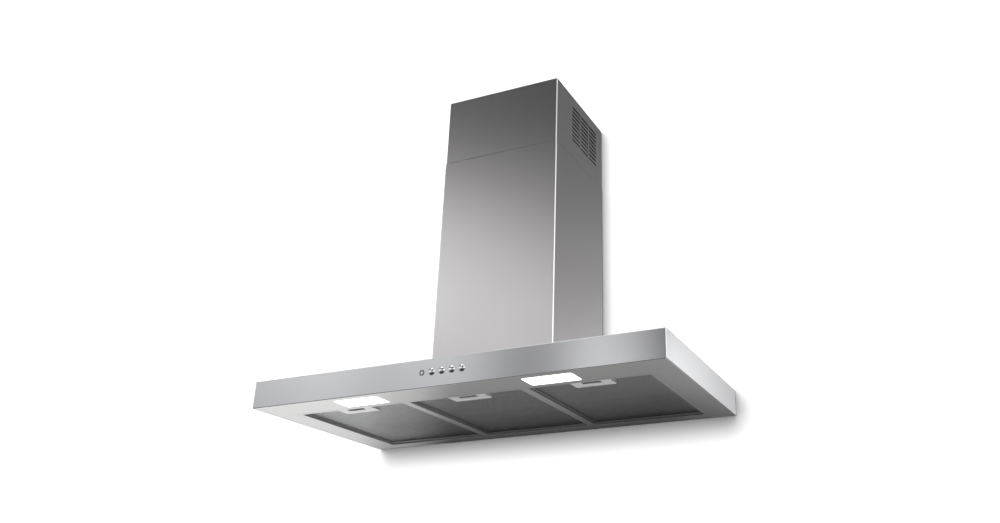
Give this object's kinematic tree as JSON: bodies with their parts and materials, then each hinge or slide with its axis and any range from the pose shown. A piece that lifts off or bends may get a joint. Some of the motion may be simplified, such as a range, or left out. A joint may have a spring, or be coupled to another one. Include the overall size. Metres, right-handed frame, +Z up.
{
  "type": "range hood",
  "caption": "Wall-mounted box chimney hood with a flat canopy, swing-down cassette grease filters, lamps, push buttons, and a telescopic cover over a centrifugal blower.",
  "frame": {"origin": "on the wall plane, on the centre line, at the level of the canopy's underside", "axes": "+X to the right along the wall as the cook faces the hood, +Y into the wall, +Z up; the front with the buttons faces -Y"},
  "size_m": [0.898, 0.4526, 0.762],
  "materials": {
    "stainless": "fine brushed stainless steel, satin",
    "galvanised": "galvanised sheet, dull spangle",
    "filter_channel": "folded aluminium channel, satin",
    "filter_mesh": "expanded aluminium mesh, several layers, dark between the strands",
    "handle": "light grey moulded plastic, satin",
    "spring_steel": "drawn steel wire and rod",
    "lens": "opal diffuser, lit",
    "lamp_tray": "white painted or bare aluminium, satin",
    "circuit_board": "green solder resist",
    "black_plastic": "black moulded plastic, fine spark texture",
    "chrome": "polished chrome plate",
    "indicator": "frosted diffuser, unlit",
    "motor_metal": "motor body of pressed steel and laminations",
    "zinc_screws": "zinc-plated steel"
  },
  "bodies": {
    "hood": {"canopy_shell": "stainless", "bottom_panel": "stainless", "rear_panel": "galvanised", "filter_frame": "stainless", "hang_bracket_left": "galvanised", "hang_bracket_right": "galvanised", "lower_chimney": "stainless", "chimney_feet": "galvanised", "lamp_lens_left": "lens", "lamp_lens_right": "lens", "lamp_housing_left": "lamp_tray", "lamp_housing_right": "lamp_tray", "led_board_left": "circuit_board", "led_board_right": "circuit_board", "led_driver": "black_plastic", "control_housing": "black_plastic", "control_board": "circuit_board", "indicator_ring": "chrome", "indicator_lens": "indicator", "blower_box": "galvanised", "scroll_left": "black_plastic", "scroll_right": "black_plastic", "motor": "motor_metal", "motor_bracket": "galvanised", "capacitor": "lamp_tray", "outlet_collar": "black_plastic", "damper_pins": "spring_steel", "junction_box": "black_plastic", "cable_gland": "black_plastic", "blower_screws": "zinc_screws", "foot_screws": "zinc_screws"},
    "upper_cover": {"upper_chimney": "stainless", "upper_bracket": "galvanised", "upper_screws": "zinc_screws", "grille_baffle_left": "black_plastic", "grille_baffle_right": "black_plastic"},
    "rotor": {"fan_wheel": "black_plastic", "motor_shaft": "spring_steel"},
    "flap_front": {"damper_flap_front": "black_plastic"},
    "flap_rear": {"damper_flap_rear": "black_plastic"},
    "filter_left": {"filter_rim_left": "filter_channel", "filter_mesh_left": "filter_mesh", "filter_handle_left": "handle", "latch_spring_left": "spring_steel"},
    "latch_left": {"latch_slider_left": "handle"},
    "filter_middle": {"filter_rim_middle": "filter_channel", "filter_mesh_middle": "filter_mesh", "filter_handle_middle": "handle", "latch_spring_middle": "spring_steel"},
    "latch_middle": {"latch_slider_middle": "handle"},
    "filter_right": {"filter_rim_right": "filter_channel", "filter_mesh_right": "filter_mesh", "filter_handle_right": "handle", "latch_spring_right": "spring_steel"},
    "latch_right": {"latch_slider_right": "handle"},
    "light_button": {"button_light": "chrome"},
    "low_button": {"button_low": "chrome"},
    "medium_button": {"button_medium": "chrome"},
    "high_button": {"button_high": "chrome"}
  },
  "joints": [
    {"name": "press_light", "type": "slide", "parent": "hood", "child": "light_button", "axis": [0, 1, 0], "range_m": [0, 0.003], "stiffness_N_per_m": 500, "springref_m": -0.0005},
    {"name": "press_low", "type": "slide", "parent": "hood", "child": "low_button", "axis": [0, 1, 0], "range_m": [0, 0.003], "stiffness_N_per_m": 500, "springref_m": -0.0005},
    {"name": "press_medium", "type": "slide", "parent": "hood", "child": "medium_button", "axis": [0, 1, 0], "range_m": [0, 0.003], "stiffness_N_per_m": 500, "springref_m": -0.0005},
    {"name": "press_high", "type": "slide", "parent": "hood", "child": "high_button", "axis": [0, 1, 0], "range_m": [0, 0.003], "stiffness_N_per_m": 500, "springref_m": -0.0005},
    {"name": "filter_swing_left", "type": "hinge", "parent": "hood", "child": "filter_left", "pos_m": [-0.265, -0.0405, 0.0082], "axis": [1, 0, 0], "range_deg": [0, 75]},
    {"name": "latch_slide_left", "type": "slide", "parent": "filter_left", "child": "latch_left", "axis": [0, 1, 0], "range_m": [0, 0.006], "stiffness_N_per_m": 300, "springref_m": -0.002, "deforming": ["latch_spring_left"]},
    {"name": "filter_swing_middle", "type": "hinge", "parent": "hood", "child": "filter_middle", "pos_m": [0, -0.0405, 0.0082], "axis": [1, 0, 0], "range_deg": [0, 75]},
    {"name": "latch_slide_middle", "type": "slide", "parent": "filter_middle", "child": "latch_middle", "axis": [0, 1, 0], "range_m": [0, 0.006], "stiffness_N_per_m": 300, "springref_m": -0.002, "deforming": ["latch_spring_middle"]},
    {"name": "filter_swing_right", "type": "hinge", "parent": "hood", "child": "filter_right", "pos_m": [0.265, -0.0405, 0.0082], "axis": [1, 0, 0], "range_deg": [0, 75]},
    {"name": "latch_slide_right", "type": "slide", "parent": "filter_right", "child": "latch_right", "axis": [0, 1, 0], "range_m": [0, 0.006], "stiffness_N_per_m": 300, "springref_m": -0.002, "deforming": ["latch_spring_right"]},
    {"name": "fan_spin", "type": "hinge", "parent": "hood", "child": "rotor", "pos_m": [0, -0.128, 0.172], "axis": [1, 0, 0], "continuous": true},
    {"name": "flap_lift_front", "type": "hinge", "parent": "hood", "child": "flap_front", "pos_m": [0, -0.1535, 0.334], "axis": [-1, 0, 0], "range_deg": [0, 80]},
    {"name": "flap_lift_rear", "type": "hinge", "parent": "hood", "child": "flap_rear", "pos_m": [0, -0.1465, 0.334], "axis": [1, 0, 0], "range_deg": [0, 80]},
    {"name": "cover_height", "type": "slide", "parent": "hood", "child": "upper_cover", "axis": [0, 0, 1], "range_m": [-0.15, 0.2]}
  ]
}
